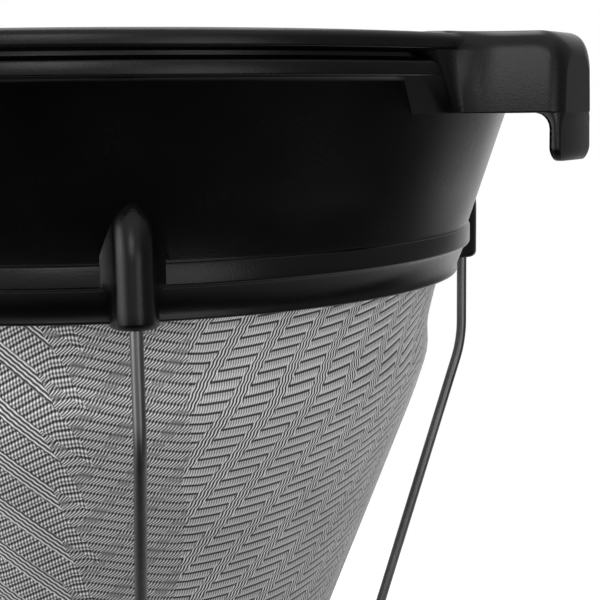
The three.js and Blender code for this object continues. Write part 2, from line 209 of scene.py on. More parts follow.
class Shader:
    def __init__(self, owner):
        owner.use_nodes = True
        self.tree = owner.node_tree
        self.tree.nodes.clear()

    def add(self, kind, settings=None, **sockets):
        node = self.tree.nodes.new(kind)
        for name, value in (settings or {}).items():
            if name == "stops":
                self.setStops(node.color_ramp, value)
            else:
                setattr(node, name, value)
        for name, value in sockets.items():
            socket = self.find(node, name)
            if isinstance(value, Expr):
                value = value.socket
            if isinstance(value, bpy.types.NodeSocket):
                self.tree.links.new(value, socket)
            else:
                socket.default_value = value
        return node

    def find(self, node, name):
        if name.startswith("in") and name[2:].isdigit():
            return node.inputs[int(name[2:])]
        return node.inputs[name.replace("_", " ")]

    def setStops(self, ramp, stops):
        while len(ramp.elements) < len(stops):
            ramp.elements.new(0.5)
        for element, (position, colour) in zip(ramp.elements, stops):
            element.position = position
            element.color = colour

    def value(self, node, output=0):
        return Expr(self.tree, node.outputs[output])

    def eased(self, amount, low, high):
        # 0 below low, 1 above high, smooth between
        return self.value(self.add("ShaderNodeMapRange", {"interpolation_type": "SMOOTHSTEP"},
                                   Value=amount, From_Min=low, From_Max=high))

    def along(self, direction, way):
        # how far a direction runs along another one
        dot = self.add("ShaderNodeVectorMath", {"operation": "DOT_PRODUCT"}, in0=direction, in1=way)
        return Expr(self.tree, dot.outputs["Value"])


def grey(level):
    return (level, level, level, 1)


# the black moulding

mouldingLook = {
    "colour": 0.0006,
    "mottle": 0.35,          # share by which the colour wanders
    "roughness": 0.22,
    "grain": 0.00035,        # size of the mould's fine grain, m
    "grainDepth": 0.16,
}


def blackComposite():
    material = bpy.data.materials.new("black_composite")
    shader = Shader(material)
    look = mouldingLook
    spot = shader.add("ShaderNodeTexCoord").outputs["Object"]
    cloud = shader.value(shader.add("ShaderNodeTexNoise", Vector=spot, Scale=60, Detail=3))
    speck = shader.value(shader.add("ShaderNodeTexNoise", Vector=spot, Scale=900, Detail=2))
    grain = shader.value(shader.add("ShaderNodeTexNoise", Vector=spot, Scale=1 / look["grain"], Detail=2))
    tone = cloud * 0.6 + speck * 0.4
    dark, pale = look["colour"] * (1 - look["mottle"]), look["colour"] * (1 + 3 * look["mottle"])
    colour = shader.add("ShaderNodeValToRGB", {"stops": [(0.3, grey(dark)), (0.75, grey(pale))]}, Fac=tone)
    rough = look["roughness"] - 0.05 + cloud * 0.12 + speck * 0.05
    bump = shader.add("ShaderNodeBump", Strength=look["grainDepth"], Distance=0.0002, Height=grain + cloud * 2)
    surface = shader.add("ShaderNodeBsdfPrincipled", Base_Color=colour.outputs[0], Roughness=rough,
                         Normal=bump.outputs[0], IOR=1.46)
    shader.add("ShaderNodeOutputMaterial", Surface=surface.outputs[0])
    return material


collarSizes = {
    "rimRadius": 103, "lipHeight": 3, "grooveDepth": 4.4, "grooveHeight": 1.7,
    "bandHeight": 2.9, "bandRadius": 101.5, "topRadius": 95.5, "waistRadius": 84.9,
    "wall": 3.2, "beadTop": -39.2, "beadHeight": 4.4, "beadProud": 0.5, "depth": 50.2,
    "seatRadius": 79.7, "seatInner": 78.1, "seatTop": -40.9, "segments": 240,
    "crown": 4.6, "lipRound": 1.5, "lipEdge": 0.45,          # the rim's flat top and its two edges
    "bandRound": 0.8, "bandEdge": 0.4, "wallFillet": 1.2,    # the band under the groove, and below it
    "beadRound": 0.45, "beadEdge": 0.6, "skirtRound": 0.5,
    "innerLip": 2.4, "ledgeRise": 1.4, "ledgeDrop": 2.6,     # inside: the seat's lip and the ledge over it
    "innerFillet": 1.6, "innerRound": 1.8,
}


def wallRadius(height):
    c = collarSizes
    bandBottom = -c["lipHeight"] - c["grooveHeight"] - c["bandHeight"]
    slope = (c["topRadius"] - c["waistRadius"]) / (bandBottom - c["beadTop"])
    return c["topRadius"] - slope * (bandBottom - height)


def innerWall():
    # from the ledge over the sheet's seat up to the rim's inner edge
    c = collarSizes
    bandBottom = -c["lipHeight"] - c["grooveHeight"] - c["bandHeight"]
    ledge = c["beadTop"] + c["ledgeRise"]
    wall = [(wallRadius(ledge) - c["wall"], ledge), (wallRadius(-20) - c["wall"], -20)]
    wall += arc(wallRadius(bandBottom) - c["wall"] + 2.6, bandBottom + 0.9, c["innerFillet"], 200, 150, 4)
    return wall + arc(c["rimRadius"] - c["crown"], -c["innerRound"], c["innerRound"], 165, 95, 5)


def collarProfile():
    # the moulding's section: down the outside, round the foot, up the inside
    c = collarSizes
    rim, lip, seat = c["rimRadius"], c["lipHeight"], c["seatInner"]
    bandTop = -lip - c["grooveHeight"]
    bandBottom = bandTop - c["bandHeight"]
    groove = rim - c["grooveDepth"]
    band = c["bandRadius"]
    bead = c["waistRadius"] + c["beadProud"]
    beadBottom = c["beadTop"] - c["beadHeight"]
    floor = -c["depth"]
    ledge = c["beadTop"] + c["ledgeRise"]
    inner = seat - c["innerLip"]
    profile = [(rim - c["crown"], 0)]
    profile += arc(rim - c["lipRound"], -c["lipRound"], c["lipRound"], 100, 5, 9)
    profile += arc(rim - 0.5, -lip + c["lipEdge"], c["lipEdge"], 0, -80, 4)
    profile += [(groove + 0.5, -lip - 0.05), (groove, -lip - 0.5), (groove, bandTop + 0.5)]
    profile += [(groove + 0.6, bandTop + 0.05)]
    profile += arc(band - c["bandRound"], bandTop - c["bandRound"], c["bandRound"], 85, 5, 5)
    profile += arc(band - c["bandEdge"], bandBottom + c["bandEdge"], c["bandEdge"], -5, -80, 4)
    profile += [(c["topRadius"] + 2.2, bandBottom)]
    profile += arc(c["topRadius"] + 0.9, bandBottom - c["wallFillet"], c["wallFillet"], 95, 165, 4)
    profile += [(wallRadius(height), height) for height in (-20, -30, c["beadTop"] + 0.5)]
    profile += arc(bead - c["beadRound"], c["beadTop"] - 0.5, c["beadRound"], 80, 0, 4)
    profile += arc(bead - c["beadEdge"], beadBottom + c["beadEdge"], c["beadEdge"], 0, -70, 4)
    profile += [(bead - 0.9, beadBottom - 0.15), (bead - 1.2, beadBottom - 0.5), (bead - 2.9, floor + 1.8)]
    profile += arc(bead - 3.3, floor + 0.6, c["skirtRound"], 20, -80, 4)
    profile += [(c["seatRadius"] + 0.5, floor), (c["seatRadius"], floor + 0.3)]
    profile += [(c["seatRadius"], c["seatTop"]), (seat, c["seatTop"]), (seat, floor + 1.8)]
    profile += [(seat - 0.6, floor + 1.2), (inner, floor + 2), (inner, ledge - c["ledgeDrop"])]
    return profile + innerWall()


bossSizes = {
    "circle": 88.2, "radius": 3.6, "straight": 12.2, "arch": 15.6, "foot": 1.4,
    "wing": 5.7, "skirtWing": 4.3, "peak": -27.9,
    "rootBack": 6.6, "bendBack": 4.9, "bendOut": 0.75,       # a flank's start and bend, behind the nose
    "sunk": 1.6,             # depth of a flank's root in the wall
    "taperStart": 4.8, "taperLength": 5.4,                   # the pointed top, from the shoulder
    "noseSteps": 18, "flankSteps": 8,
}


def bossOutline(height):
    # a round nose with flanks that flare to the wall; it sinks back into the wall towards its top
    b, c = bossSizes, collarSizes
    reach = b["circle"] + b["radius"]
    shoulder = -c["depth"] + b["straight"]
    rise = max(height - shoulder, 0)
    sunk = max(-c["depth"] + b["foot"] - height, 0)
    back = b["arch"] - math.sqrt(b["arch"] ** 2 - rise ** 2)
    back += b["foot"] - math.sqrt(max(b["foot"] ** 2 - sunk ** 2, 0))
    skirt = c["beadTop"] - c["beadHeight"]
    wing = easeBetween(b["skirtWing"], b["wing"], (height - skirt + 1) / 1.6)
    foot = wallRadius(max(height, c["beadTop"])) - b["sunk"]
    nose = arc(b["circle"], 0, b["radius"], -80, 80, b["noseSteps"])
    bend = (reach - b["bendBack"], b["radius"] + b["bendOut"])
    start, end = (reach - b["rootBack"], wing), nose[-1]
    flank = []
    for step in range(b["flankSteps"] + 1):
        share = step / b["flankSteps"]
        flank.append(tuple((1 - share) ** 2 * start[n] + 2 * share * (1 - share) * bend[n] + share ** 2 * end[n]
                           for n in (0, 1)))
    side = [(foot, wing)] + [(radial - back, across) for radial, across in flank[:-1]]
    front = [(radial - back, across) for radial, across in nose]
    outline = [(radial, -across) for radial, across in side] + front + side[::-1]
    narrow = math.sqrt(1 - min(max(rise - b["taperStart"], 0) / b["taperLength"], 0.97) ** 2)
    return [(max(radial, foot), across * narrow) for radial, across in outline]


def boss(angle):
    out = Vector((math.cos(angle), math.sin(angle), 0))
    side = Vector((-math.sin(angle), math.cos(angle), 0))
    bottom = -collarSizes["depth"] + 0.05
    # levels, closest together where the outline changes
    heights = [bottom + rise for rise in (0, 0.12, 0.4, 0.8, 1.35)]
    heights += [-47, -44.8, -44.4, -44, -43.6, -43.2, -42, -40.5, -39.2, -38.2]
    heights += [-37.5 + step * 0.6 for step in range(16)] + [bossSizes["peak"]]
    rings = []
    for height in heights:
        rings.append([Vector((axisX, 0, rimZ + height * mm)) + (out * radial + side * across) * mm
                      for radial, across in bossOutline(height)])
    return loft("boss", rings)


hookSizes = {
    "reach": 117, "endWidth": 15.6, "top": 0.4, "seat": -14.4, "edge": 3.6, "end": 5, "corner": 2.3,
    "flank": 0.52,           # growth of each side's width for each mm back from the end
    "draft": 0.06,
    "root": 91, "rootFront": 2.3, "rootBack": 2.6, "rootFillet": 5,
    "rimFillet": 7.5, "rimFilletStart": 107,                 # the hollow curve beside the rim
    "pinch": 0.3, "pinchStart": 104,                         # the slimmer foot below the rim
    "pinchTop": -11.5, "pinchBlend": 5, "underEdge": 0.35,
    "leg": 2.6, "legBottom": -23.2, "legCorner": 2.6, "legStep": 0.4, "fillet": 3, "innerEdge": 0.9,
}


def hookArm():
    # wide where it leaves the collar, narrower towards its end
    h = hookSizes
    back = h["root"] - h["rootBack"]
    stations = [collarSizes["waistRadius"] - 1] + [back + step * 0.25 for step in range(22)]
    stations += [96, 98] + [99 + step * 0.5 for step in range(20)] + [109, 111]
    stations += [h["reach"] - h["end"] * (1 - math.sin(math.radians(angle))) for angle in range(0, 90, 6)]
    stations += [h["reach"] - 0.03]
    rings = []
    for reach in stations:
        half = h["endWidth"] / 2 + h["flank"] * (h["reach"] - max(reach, back))
        gap = min(max(h["root"] + h["rootFront"] - reach, 0), h["rootFront"] + h["rootBack"])
        half += h["rootFillet"] - math.sqrt(h["rootFillet"] ** 2 - gap ** 2)
        past = max(reach - (h["reach"] - h["corner"]), 0)
        half -= h["corner"] - math.sqrt(max(h["corner"] ** 2 - past ** 2, 0))
        drop = max(reach - (h["reach"] - h["end"]), 0)
        top = h["top"] - h["end"] + math.sqrt(max(h["end"] ** 2 - drop ** 2, 0))
        outline = roundedBox(half, h["seat"], top, (h["underEdge"], h["edge"], h["edge"], h["underEdge"]))
        near = min(max((h["rimFilletStart"] - reach) / h["rimFillet"], 0), 0.995)
        wider = h["rimFillet"] * (1 - math.sqrt(1 - near ** 2))
        slimmer = h["pinch"] * max(h["pinchStart"] - reach, 0)
        ring = []
        for across, height in outline:
            rise = easeBetween(0, 1, (height - h["pinchTop"]) / h["pinchBlend"])
            lean = 1 + (wider * rise - slimmer * (1 - rise) - h["draft"] * (height - h["seat"])) / half
            ring.append(Vector((axisX + reach * mm, across * lean * mm, rimZ + height * mm)))
        rings.append(ring)
    return loft("arm", rings)


def hookLeg():
    # drops from the arm's end, with a fillet under the arm
    h = hookSizes
    inside = h["reach"] - h["leg"]
    heights = [h["seat"] + 0.3, h["seat"] - 0.01]
    heights += [h["seat"] - h["fillet"] * share for share in (0.1, 0.25, 0.45, 0.7, 1)]
    heights += [h["legBottom"] + h["legCorner"] * (1 - math.sin(math.radians(angle))) for angle in range(0, 90, 11)]
    rings = []
    for height in heights:
        rise = min(max(height - (h["seat"] - h["fillet"]), 0), h["fillet"])
        inner = inside - h["fillet"] + math.sqrt(max(h["fillet"] ** 2 - rise ** 2, 0))
        outer = h["reach"] - h["legStep"] * min(max((h["seat"] + 1 - height) / 3, 0), 1)
        past = max(h["legBottom"] + h["legCorner"] - height, 0)
        half = h["endWidth"] / 2 - (h["legCorner"] - math.sqrt(max(h["legCorner"] ** 2 - past ** 2, 0)))
        thin = 0.5 * (past / h["legCorner"]) ** 2
        low, high = inner + thin, outer - thin
        hard = h["innerEdge"]
        soft = easeBetween(hard, h["corner"] - 0.1, (height - h["seat"] + 4) / 4)
        outline = roundedBox(half, low, high, (hard, soft, soft, hard), 5)
        rings.append([Vector((axisX + reach * mm, across * mm, rimZ + height * mm)) for across, reach in outline])
    return loft("leg", rings)


handleSizes = {
    "reach": 290, "width": 24, "endWidth": 30, "rootWidth": 40, "edge": 4,
    "rootStart": 14, "rootLength": 42,                       # where the root narrows, from inside the rim
    "gripStart": 70,                                         # from here it widens to its end
    "holeLength": 22, "holeWidth": 10, "holeFromEnd": 22,
}


def handleHalf(reach):
    # half the handle's width at a distance from the bowl's axis
    s = handleSizes
    rim = collarSizes["rimRadius"]
    end = s["endWidth"] / 2
    half = easeBetween(s["rootWidth"] / 2, s["width"] / 2, (reach - rim + s["rootStart"]) / s["rootLength"])
    grip = rim + s["gripStart"]
    half += easeBetween(0, end - s["width"] / 2, (reach - grip) / (s["reach"] - grip - end))
    past = max(reach - (s["reach"] - end), 0)
    return half - (end - math.sqrt(max(end ** 2 - past ** 2, 0)))


def handleBar():
    s = handleSizes
    end = s["endWidth"] / 2
    straight = s["reach"] - end
    start = collarSizes["waistRadius"] - 1
    stations = [start + (straight - start) * step / 44 for step in range(45)]
    stations += [straight + end * math.sin(math.radians(angle)) for angle in range(6, 88, 6)]
    rings = []
    edge = s["edge"]
    for reach in stations:
        outerFall = max(edge - (s["reach"] - reach), 0)
        sink = edge - math.sqrt(max(edge ** 2 - outerFall ** 2, 0))
        low, high = hookSizes["seat"] + sink, hookSizes["top"] - sink
        outline = roundedBox(max(handleHalf(reach), 1.2), low, high, (edge, edge, edge, edge))
        rings.append([Vector((axisX - reach * mm, across * mm, rimZ + height * mm)) for across, height in outline])
    return loft("handle", rings)


def hangingHole():
    s = handleSizes
    centre = s["reach"] - s["holeFromEnd"]
    straight = (s["holeLength"] - s["holeWidth"]) / 2
    rings = []
    top, seat = hookSizes["top"], hookSizes["seat"]
    heights = [top + 1.2, top, top - 0.5, top - 1.6, seat + 1.6, seat + 0.5, seat, seat - 1.2]
    # its mouth widens at both faces
    for grow, height in zip((1.6, 1.2, 0.45, 0, 0, 0.45, 1.2, 1.6), heights):
        radius = s["holeWidth"] / 2 + grow * 0.8
        outline = arc(centre + straight, 0, radius, -90, 90, 12) + arc(centre - straight, 0, radius, 90, 270, 12)
        rings.append([Vector((axisX - reach * mm, across * mm, rimZ + height * mm)) for reach, across in outline])
    return loft("hole", rings)


def bowlHollow():
    # what the hook and the handle may not fill
    wall = innerWall()
    core, low, high = 0.0001, -collarSizes["depth"] - 2, 3
    profile = [(core, low), (wall[0][0], low)] + wall + [(wall[-1][0], high), (core, high)]
    return lathe("hollow", profile, collarSizes["segments"])


wireAngles = [math.radians(angle) for angle in (45, 135, 225, 315)]


def makeMoulding(material):
    extras = combine(hookArm(), hookLeg(), "UNION")
    extras = combine(extras, combine(handleBar(), hangingHole(), "DIFFERENCE"), "UNION")
    for angle in wireAngles:
        extras = combine(extras, boss(angle), "UNION")
    extras = combine(extras, bowlHollow(), "DIFFERENCE")
    piece = lathe("moulded_frame", collarProfile(), collarSizes["segments"])
    combine(piece, extras, "UNION")
    piece.data.materials.clear()
    piece.data.materials.append(material)
    smooth(piece, 32)
    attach(piece, "root")
    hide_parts("frame")
    print("moulding:", len(piece.data.polygons), "faces")
    return piece


# guard wires

wireSizes = {
    "diameter": 2.4, "circle": 88.2, "top": -33.8, "bendDepth": 71.5, "bendRadius": 32,
    "slope": 0.319,          # inward run of a leg for each mm down
    "depth": 256.95, "gap": 0.3, "sides": 24,
}
wireLook = {"colour": 0.2, "roughness": 0.22, "drawLines": 2600}


def drawnWire():
    material = bpy.data.materials.new("drawn_wire")
    shader = Shader(material)
    spot = shader.add("ShaderNodeTexCoord").outputs["Object"]
    stretch = shader.add("ShaderNodeMapping", Vector=spot, Scale=(1, 1, 0.04)).outputs[0]
    lines = shader.value(shader.add("ShaderNodeTexNoise", Vector=stretch, Scale=wireLook["drawLines"], Detail=2))
    cloud = shader.value(shader.add("ShaderNodeTexNoise", Vector=spot, Scale=70, Detail=3))
    tone = lines * 0.5 + cloud * 0.5
    low, high = wireLook["colour"] * 0.75, wireLook["colour"] * 1.3
    colour = shader.add("ShaderNodeValToRGB", {"stops": [(0.3, grey(low)), (0.7, grey(high))]}, Fac=tone)
    bump = shader.add("ShaderNodeBump", Strength=0.08, Distance=0.0001, Height=lines)
    surface = shader.add("ShaderNodeBsdfPrincipled", Base_Color=colour.outputs[0], Metallic=1.0,
                         Roughness=wireLook["roughness"] + cloud * 0.15, Normal=bump.outputs[0])
    shader.add("ShaderNodeOutputMaterial", Surface=surface.outputs[0])
    return material


def guardPath(depth):
    # (radius, height) down one side, round below the tip and up the other
    w = wireSizes
    slant = math.atan(w["slope"])
    start = w["bendDepth"] - w["bendRadius"] * math.tan(slant / 2)
    half = [(w["circle"], w["top"]), (w["circle"], -60), (w["circle"], -start)]
    bend = arc(w["circle"] - w["bendRadius"], 0, w["bendRadius"], 0, math.degrees(slant), 16)[1:]
    half += [(radius, -start - sink) for radius, sink in bend]
    legRadius, legHeight = half[-1]
    reach = legRadius - w["slope"] * (depth + legHeight)
    bottom = reach * math.cos(slant) / (1 - w["slope"] * math.cos(slant))
    turn = arc(0, 0, bottom, math.degrees(slant), 90, 28)
    half += [(radius, -depth + bottom - sink) for radius, sink in turn]
    return half + [(-radius, height) for radius, height in half[-2::-1]]


def guardTree():
    # sweeps a circle along a line of edges
    tree = bpy.data.node_groups.new("bent wire", "GeometryNodeTree")
    face = tree.interface
    face.new_socket("Geometry", in_out="INPUT", socket_type="NodeSocketGeometry")
    face.new_socket("Diameter", in_out="INPUT", socket_type="NodeSocketFloat")
    face.new_socket("Sides", in_out="INPUT", socket_type="NodeSocketInt")
    face.new_socket("Material", in_out="INPUT", socket_type="NodeSocketMaterial")
    face.new_socket("Geometry", in_out="OUTPUT", socket_type="NodeSocketGeometry")
    nodes, link = tree.nodes, tree.links.new
    entry, leave = nodes.new("NodeGroupInput"), nodes.new("NodeGroupOutput")
    route = nodes.new("GeometryNodeMeshToCurve")
    radius = nodes.new("ShaderNodeMath")
    radius.operation = "DIVIDE"
    radius.inputs[1].default_value = 2
    circle = nodes.new("GeometryNodeCurvePrimitiveCircle")
    sweep = nodes.new("GeometryNodeCurveToMesh")
    sweep.inputs["Fill Caps"].default_value = True
    real = nodes.new("GeometryNodeRealizeInstances")
    paint = nodes.new("GeometryNodeSetMaterial")
    link(entry.outputs["Geometry"], route.inputs["Mesh"])
    link(entry.outputs["Diameter"], radius.inputs[0])
    link(radius.outputs[0], circle.inputs["Radius"])
    link(entry.outputs["Sides"], circle.inputs["Resolution"])
    link(route.outputs[0], sweep.inputs["Curve"])
    link(circle.outputs[0], sweep.inputs["Profile Curve"])
    link(sweep.outputs[0], real.inputs[0])
    link(real.outputs[0], paint.inputs["Geometry"])
    link(entry.outputs["Material"], paint.inputs["Material"])
    link(paint.outputs[0], leave.inputs[0])
    return tree


def useTree(piece, tree, values):
    # runs a node tree on a piece and keeps its result as the piece's mesh
    modifier = piece.modifiers.new("nodes", "NODES")
    modifier.node_group = tree
    for item in tree.interface.items_tree:
        if item.in_out == "INPUT" and item.name in values:
            modifier[item.identifier] = values[item.name]
    return freeze(piece)


def makeGuards(material):
    w = wireSizes
    tree = guardTree()
    depths = {"guard_wire_upper": w["depth"] - w["diameter"] - w["gap"], "guard_wire_lower": w["depth"]}
    for (node, depth), angle in zip(depths.items(), wireAngles):
        spots = [place(radius, angle, height) for radius, height in guardPath(depth)]
        mesh = bpy.data.meshes.new("bent_" + node)
        mesh.from_pydata([tuple(spot) for spot in spots], [(n, n + 1) for n in range(len(spots) - 1)], [])
        piece = objectFrom(mesh, "bent_" + node)
        useTree(piece, tree, {"Diameter": w["diameter"] * mm, "Sides": w["sides"], "Material": material})
        smooth(piece, 50)
        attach(piece, "root")
        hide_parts(node)
    print("guard wires bent")


# the woven cone

sheetSizes = {
    "topRadius": 79.4, "collarDepth": 50.2, "neckRadius": 75.6, "neckDepth": 12, "swell": 0.5,
    "swellDepth": 18, "shoulderRadius": 72.8, "shoulderDepth": 28, "tipRadius": 9, "depth": 250,
    "tuck": 8.6, "topStep": 1.2, "rowPitch": 2.0, "rowSteps": 4, "columns": 120, "relief": 0.3, "thickness": 0.45,
    "softening": 6,          # rounds of easing on the wall's corners
    "facing": -20,           # angle round the bowl opposite the seam
    "pointShare": 0.55,      # share of the sheet's unseen point that is counted
    "pointCut": 4,           # length left open at the point, under the tip
    "inset": 0.02,
    "seamWidth": 7, "seamThickness": 0.75, "seamStep": 3, "seamEnd": 12,
    "tipThickness": 0.7, "tipLap": 14,
}

# how steeply the rows climb, in degrees, against the angle round the bowl
rowClimb = [(-200, -69), (-110, -35), (-80, 0), (-66, 28), (-57, 28), (-52, -14), (-40, -13), (-34, 3),
            (-28, 5), (-15, 7), (-5, 10), (5, 16), (15, 22), (30, 28), (60, 38), (160, 69)]


def sheetLevels():
    # outer radius against depth below the rim, straight between these points
    s = sheetSizes
    base = s["collarDepth"]
    coneEnd = s["depth"] - s["tipRadius"]
    return [
        (base - s["tuck"], s["topRadius"]), (base, s["topRadius"]),
        (base + s["topStep"], s["topRadius"] - s["topStep"]),
        (base + s["neckDepth"], s["neckRadius"]), (base + s["swellDepth"], s["neckRadius"] + s["swell"]),
        (base + s["shoulderDepth"], s["shoulderRadius"]), (coneEnd, s["tipRadius"]),
    ]


def smoothLevels():
    # the same line with its corners eased, as (distance down the wall, depth, radius)
    spots = sheetLevels()
    fine = []
    for (depthA, radiusA), (depthB, radiusB) in zip(spots, spots[1:]):
        steps = max(int(depthB - depthA), 2)
        fine += [(depthA + (depthB - depthA) * n / steps, radiusA + (radiusB - radiusA) * n / steps)
                 for n in range(steps)]
    fine.append(spots[-1])
    for _ in range(sheetSizes["softening"]):
        eased = fine[:]
        for n in range(1, len(fine) - 1):
            eased[n] = (fine[n][0], (fine[n - 1][1] + 2 * fine[n][1] + fine[n + 1][1]) / 4)
        fine = eased
    tip = sheetSizes["tipRadius"]
    last = fine[-1][0]
    fine += [(last + tip * math.sin(math.radians(angle)), tip * math.cos(math.radians(angle)))
             for angle in range(10, 90, 10)]
    run = [(0.0, fine[0][0], fine[0][1])]
    for (depthA, radiusA), (depthB, radiusB) in zip(fine, fine[1:]):
        run.append((run[-1][0] + math.hypot(depthB - depthA, radiusB - radiusA), depthB, radiusB))
    return run


def sheetTree():
    # raises a row of rounded ribs out of a plain sheet, by its rows attribute
    tree = bpy.data.node_groups.new("ribbed sheet", "GeometryNodeTree")
    face = tree.interface
    face.new_socket("Geometry", in_out="INPUT", socket_type="NodeSocketGeometry")
    face.new_socket("Row pitch", in_out="INPUT", socket_type="NodeSocketFloat")
    face.new_socket("Relief", in_out="INPUT", socket_type="NodeSocketFloat")
    face.new_socket("Material", in_out="INPUT", socket_type="NodeSocketMaterial")
    face.new_socket("Geometry", in_out="OUTPUT", socket_type="NodeSocketGeometry")
    nodes, link = tree.nodes, tree.links.new
    entry, leave = nodes.new("NodeGroupInput"), nodes.new("NodeGroupOutput")
    rows = nodes.new("GeometryNodeInputNamedAttribute")
    rows.data_type = "FLOAT"
    rows.inputs["Name"].default_value = "rows"
    normal = nodes.new("GeometryNodeInputNormal")
    steps = []
    for operation, other in (("DIVIDE", None), ("MULTIPLY", 2 * math.pi), ("COSINE", None), ("MULTIPLY", None),
                             ("MULTIPLY", -0.5)):
        step = nodes.new("ShaderNodeMath")
        step.operation = operation
        if other is not None:
            step.inputs[1].default_value = other
        if steps:
            link(steps[-1].outputs[0], step.inputs[0])
        steps.append(step)
    lift = nodes.new("ShaderNodeVectorMath")
    lift.operation = "SCALE"
    move = nodes.new("GeometryNodeSetPosition")
    real = nodes.new("GeometryNodeRealizeInstances")
    paint = nodes.new("GeometryNodeSetMaterial")
    link(rows.outputs[0], steps[0].inputs[0])
    link(entry.outputs["Row pitch"], steps[0].inputs[1])
    link(entry.outputs["Relief"], steps[3].inputs[1])
    link(normal.outputs[0], lift.inputs[0])
    link(steps[-1].outputs[0], lift.inputs["Scale"])
    link(entry.outputs["Geometry"], move.inputs["Geometry"])
    link(lift.outputs[0], move.inputs["Offset"])
    link(move.outputs[0], real.inputs[0])
    link(real.outputs[0], paint.inputs["Geometry"])
    link(entry.outputs["Material"], paint.inputs["Material"])
    link(paint.outputs[0], leave.inputs[0])
    return tree


def climbAt(angle):
    for (low, before), (high, after) in zip(rowClimb, rowClimb[1:]):
        if angle <= high:
            return before + (after - before) * (angle - low) / (high - low)
    return rowClimb[-1][1]


def rowStretch(opening):
    # for each column: its angle, and how much farther from the cone's apex a row lies there
    s = sheetSizes
    step, parts = 360 / s["columns"], 8
    found = {0: 1.0}
    for way in (-1, 1):
        total = 0.0
        for column in range(1, s["columns"] // 2 + 1):
            for part in range(parts):
                angle = s["facing"] + way * step * (column - 1 + (part + 0.5) / parts)
                total += way * math.tan(math.radians(climbAt(angle))) * math.radians(step / parts)
            found[way * column] = math.exp(opening * total)
    return [(s["facing"] + column * step, found[column]) for column in sorted(found)]


def makeCone(material):
    # a grid of columns round the bowl and of rows that climb along the weave
    s = sheetSizes
    run = smoothLevels()
    coneHeight = s["depth"] - s["tipRadius"] - s["collarDepth"] - s["shoulderDepth"]
    slope = (s["shoulderRadius"] - s["tipRadius"]) / coneHeight
    opening = math.sin(math.atan(slope))            # how far the sheet turns per turn of the cone
    apex = s["tipRadius"] / opening * s["pointShare"]
    top = apex + run[-1][0]
    low = apex + s["pointCut"]
    pitch = s["rowPitch"] / s["rowSteps"]
    points, labels, spots, faces = [], [], [], []
    columns = rowStretch(opening)
    count = int(top / pitch) + 2
    for angle, stretch in columns:
        for line in range(count):
            slant = min(max(line * pitch * stretch, low), top)
            depth, radius = levelAt(run, top - slant)
            points.append(place(radius - s["relief"] / 2 - s["inset"], math.radians(angle), -depth))
            labels.append(slant / stretch)
            spots.append((slant * opening * math.radians(angle - s["facing"]), slant / stretch))
    for column in range(len(columns) - 1):
        for line in range(count - 1):
            near, far = columns[column][1], columns[column + 1][1]
            if (line + 1) * pitch * max(near, far) <= low or line * pitch * min(near, far) >= top:
                continue
            first = column * count + line
            faces.append((first, first + count, first + count + 1, first + 1))
    mesh = bpy.data.meshes.new("woven_cone")
    mesh.from_pydata([tuple(point) for point in points], [], faces)
    layer = mesh.uv_layers.new(name="sheet")
    for loop in mesh.loops:
        layer.data[loop.index].uv = spots[loop.vertex_index]
    rows = mesh.attributes.new("rows", "FLOAT", "POINT")
    for spot, label in enumerate(labels):
        rows.data[spot].value = label
    weld = bmesh.new()
    weld.from_mesh(mesh)
    bmesh.ops.delete(weld, geom=[vert for vert in weld.verts if not vert.link_faces], context="VERTS")
    bmesh.ops.remove_doubles(weld, verts=weld.verts, dist=1e-6)
    bmesh.ops.recalc_face_normals(weld, faces=weld.faces)
    weld.to_mesh(mesh)
    weld.free()
    cone = objectFrom(mesh, "woven_cone")
    flipIfInward(cone)
    useTree(cone, sheetTree(), {"Row pitch": s["rowPitch"], "Relief": s["relief"] * mm, "Material": material})
    wall = cone.modifiers.new("wall", "SOLIDIFY")
    wall.thickness = s["thickness"] * mm
    wall.offset = -1
    freeze(cone)
    smooth(cone, 60)
    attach(cone, "root")
    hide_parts("mesh_basket")
    print("woven cone:", len(cone.data.polygons), "faces")
    makeSeam(material, run)
    makeTip(material, run)


def levelAt(run, distance):
    # depth and radius at a distance down the wall
    after = min(max(bisect.bisect_left(run, (distance,)), 1), len(run) - 1)
    (fromRun, fromDepth, fromRadius), (toRun, toDepth, toRadius) = run[after - 1:after + 1]
    share = min(max((distance - fromRun) / (toRun - fromRun), 0), 1)
    return fromDepth + (toDepth - fromDepth) * share, fromRadius + (toRadius - fromRadius) * share


def flipIfInward(piece):
    # the rolled sheet's faces have to look away from the axis
    votes = 0
    for face in piece.data.polygons:
        away = Vector((face.center.x - axisX, face.center.y, 0))
        votes += 1 if face.normal.dot(away) > 0 else -1
    if votes < 0:
        piece.data.flip_normals()


def makeSeam(material, run):
    # the lapped edge where the rolled sheet meets itself
    s = sheetSizes
    angle = math.radians(s["facing"]) + math.pi
    out = Vector((math.cos(angle), math.sin(angle), 0))
    side = Vector((-math.sin(angle), math.cos(angle), 0))
    rings = []
    distance = 0.5
    while distance < run[-1][0] - s["seamEnd"]:
        depth, radius = levelAt(run, distance)
        half = s["seamWidth"] / 2 * min(1, 0.35 + radius / 40)
        ring = []
        for across in (-1, -0.97, -0.5, 0, 0.5, 0.97, 1):
            bulge = math.sqrt(max(radius ** 2 - (across * half) ** 2, 0))
            lift = 0.0 if abs(across) == 1 else -0.03
            ring.append((bulge + lift, across * half))
        for across in (1, 0.5, 0, -0.5, -1):
            bulge = math.sqrt(max(radius ** 2 - (across * half) ** 2, 0))
            ring.append((bulge - s["seamThickness"], across * half))
        rings.append([Vector((axisX, 0, rimZ - depth * mm)) + (out * reach + side * across) * mm
                      for reach, across in ring])
        distance += s["seamStep"]
    piece = loft("cone_seam", rings)
    piece.data.materials.append(material)
    sheetUv(piece)
    smooth(piece, 40)
    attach(piece, "root")
    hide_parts("mesh_basket")


